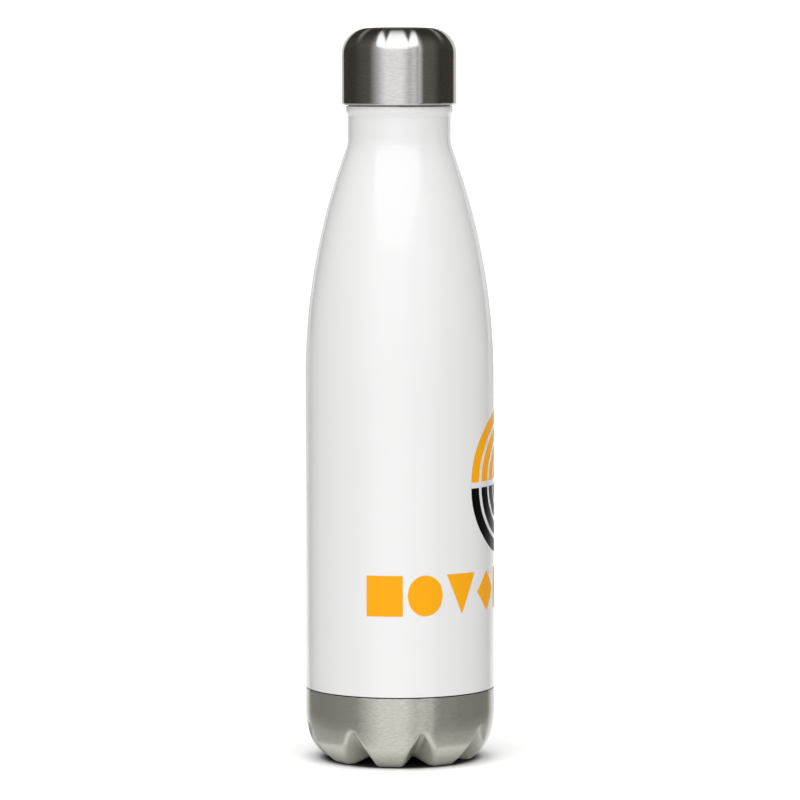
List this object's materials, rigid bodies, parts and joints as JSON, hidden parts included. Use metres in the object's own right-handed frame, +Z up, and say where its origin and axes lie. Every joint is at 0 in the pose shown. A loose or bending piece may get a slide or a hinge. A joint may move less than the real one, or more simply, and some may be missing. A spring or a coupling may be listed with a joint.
{
  "type": "insulated bottle",
  "caption": "Slim double-walled steel drinking bottle with a long shoulder, a petal-shaped foot and a domed steel screw cap on an insulated stopper.",
  "frame": {"origin": "centre of the ring of feet, on the plane the bottle stands on", "axes": "+Z up along the bottle's axis; -Y is the side seen in the picture; +X is the printed side"},
  "size_m": [0.0704, 0.0704, 0.2726],
  "materials": {
    "white_paint": "gloss white paint",
    "cap_steel": "brushed round the cap",
    "satin_steel": "fine satin",
    "liner_steel": "bright, lightly polished",
    "foil": "bright foil",
    "getter": "pressed metal powder",
    "solder_glass": "fused",
    "core_plastic": "fine matt",
    "foam": "closed-cell foam",
    "silicone": "translucent silicone"
  },
  "bodies": {
    "bottle": {"outer_shell": "white_paint", "inner_liner": "liner_steel", "liner_bottom": "liner_steel", "petal_base": "satin_steel", "heat_shield": "foil", "getter_holder": "liner_steel", "getter_pellet": "getter", "seal_bead": "solder_glass", "base_disc": "satin_steel"},
    "washer": {"lip_gasket": "silicone"},
    "cap": {"cap_shell": "cap_steel", "cap_insert": "core_plastic", "stopper": "core_plastic", "foam_core": "foam", "stopper_seal": "silicone"}
  },
  "joints": [
    {"name": "cap_rise", "type": "slide", "parent": "bottle", "child": "washer", "axis": [0, 0, 1], "range_m": [0, 0.02201]},
    {"name": "cap_turn", "type": "hinge", "parent": "washer", "child": "cap", "pos_m": [0, 0, 0.2445], "axis": [0, 0, 1], "range_deg": [0, 1584]}
  ],
  "couplings": [
    {"joint": "cap_rise", "follows": "cap_turn", "m_per_rad": 0.00079577}
  ]
}
